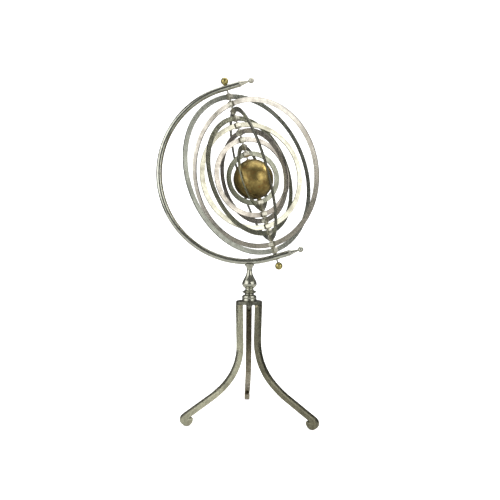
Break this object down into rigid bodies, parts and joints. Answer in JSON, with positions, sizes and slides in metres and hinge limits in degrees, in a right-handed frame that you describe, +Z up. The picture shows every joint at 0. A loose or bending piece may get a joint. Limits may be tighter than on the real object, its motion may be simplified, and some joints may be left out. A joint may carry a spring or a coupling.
{
  "type": "armillary sphere",
  "caption": "Kinetic armillary sphere: concentric flat metal rings and a brass globe turning on a tilted rod, in a C-shaped arm on a baluster stem with scroll-toed legs.",
  "frame": {"origin": "on the floor, under the axis of the turned stem", "axes": "+Z up along the stem, +X to the arm's open side, +Y away from the front view"},
  "size_m": [0.2652, 0.2333, 0.56],
  "materials": {
    "steel_arm": "satin, lightly tarnished",
    "steel_rod": "satin",
    "steel_screw": "dull",
    "steel_base": "satin, worn edges",
    "steel_leg_left": "satin",
    "steel_leg_right": "satin",
    "steel_leg_back": "satin, dark",
    "nickel_stem": "polished, worn",
    "nickel_bush": "semi-polished",
    "brass_bright": "polished",
    "brass_aged": "aged patina",
    "ring_1": "satin flat bar, lightly tarnished",
    "ring_2": "satin flat bar, lightly tarnished",
    "ring_3": "satin flat bar, lightly tarnished",
    "ring_4": "satin flat bar, lightly tarnished",
    "ring_5": "satin flat bar, lightly tarnished",
    "ring_6": "satin flat bar, lightly tarnished",
    "ring_7": "satin flat bar, lightly tarnished",
    "ring_8": "satin flat bar, lightly tarnished",
    "ring_9": "satin flat bar, lightly tarnished"
  },
  "bodies": {
    "stand": {"arm": "steel_arm", "arm_finial_upper": "brass_bright", "arm_finial_lower": "steel_arm", "arm_screw": "steel_screw", "stem": "nickel_stem", "base_plate": "steel_base", "stem_washer": "steel_screw", "stem_nut": "steel_screw", "leg_left": "steel_leg_left", "leg_right": "steel_leg_right", "leg_back": "steel_leg_back", "leg_screw_left": "steel_screw", "leg_screw_right": "steel_screw", "leg_screw_back": "steel_screw", "thrust_washer": "steel_screw"},
    "axle": {"axle_rod": "steel_rod", "knob_upper": "brass_bright", "knob_lower": "brass_bright"},
    "ring_1": {"ring_1_band": "ring_1", "ring_1_bush_upper": "nickel_bush", "ring_1_bush_lower": "nickel_bush"},
    "ring_2": {"ring_2_band": "ring_2", "ring_2_bush_upper": "nickel_bush", "ring_2_bush_lower": "nickel_bush"},
    "ring_3": {"ring_3_band": "ring_3", "ring_3_bush_upper": "nickel_bush", "ring_3_bush_lower": "nickel_bush"},
    "ring_4": {"ring_4_band": "ring_4", "ring_4_bush_upper": "nickel_bush", "ring_4_bush_lower": "nickel_bush"},
    "ring_5": {"ring_5_band": "ring_5", "ring_5_bush_upper": "nickel_bush", "ring_5_bush_lower": "nickel_bush"},
    "ring_6": {"ring_6_band": "ring_6", "ring_6_bush_upper": "nickel_bush", "ring_6_bush_lower": "nickel_bush"},
    "ring_7": {"ring_7_band": "ring_7", "ring_7_bush_upper": "nickel_bush", "ring_7_bush_lower": "nickel_bush"},
    "ring_8": {"ring_8_band": "ring_8", "ring_8_bush_upper": "nickel_bush", "ring_8_bush_lower": "nickel_bush"},
    "ring_9": {"ring_9_band": "ring_9", "ring_9_bush_upper": "nickel_bush", "ring_9_bush_lower": "nickel_bush"},
    "globe": {"globe_upper": "brass_aged", "globe_lower": "brass_aged", "globe_ferrule_upper": "brass_bright", "globe_ferrule_lower": "brass_bright"}
  },
  "joints": [
    {"name": "axle_spin", "type": "hinge", "parent": "stand", "child": "axle", "pos_m": [0.0019, 0, 0.4042], "axis": [-0.289, 0, 0.9573], "continuous": true},
    {"name": "ring_1_spin", "type": "hinge", "parent": "stand", "child": "ring_1", "pos_m": [0.0019, 0, 0.4042], "axis": [-0.289, 0, 0.9573], "continuous": true},
    {"name": "ring_2_spin", "type": "hinge", "parent": "stand", "child": "ring_2", "pos_m": [0.0019, 0, 0.4042], "axis": [-0.289, 0, 0.9573], "continuous": true},
    {"name": "ring_3_spin", "type": "hinge", "parent": "stand", "child": "ring_3", "pos_m": [0.0019, 0, 0.4042], "axis": [-0.289, 0, 0.9573], "continuous": true},
    {"name": "ring_4_spin", "type": "hinge", "parent": "stand", "child": "ring_4", "pos_m": [0.0019, 0, 0.4042], "axis": [-0.289, 0, 0.9573], "continuous": true},
    {"name": "ring_5_spin", "type": "hinge", "parent": "stand", "child": "ring_5", "pos_m": [0.0019, 0, 0.4042], "axis": [-0.289, 0, 0.9573], "continuous": true},
    {"name": "ring_6_spin", "type": "hinge", "parent": "stand", "child": "ring_6", "pos_m": [0.0019, 0, 0.4042], "axis": [-0.289, 0, 0.9573], "continuous": true},
    {"name": "ring_7_spin", "type": "hinge", "parent": "stand", "child": "ring_7", "pos_m": [0.0019, 0, 0.4042], "axis": [-0.289, 0, 0.9573], "continuous": true},
    {"name": "ring_8_spin", "type": "hinge", "parent": "stand", "child": "ring_8", "pos_m": [0.0019, 0, 0.4042], "axis": [-0.289, 0, 0.9573], "continuous": true},
    {"name": "ring_9_spin", "type": "hinge", "parent": "stand", "child": "ring_9", "pos_m": [0.0019, 0, 0.4042], "axis": [-0.289, 0, 0.9573], "continuous": true},
    {"name": "globe_spin", "type": "hinge", "parent": "stand", "child": "globe", "pos_m": [0.0019, 0, 0.4042], "axis": [-0.289, 0, 0.9573], "continuous": true}
  ]
}
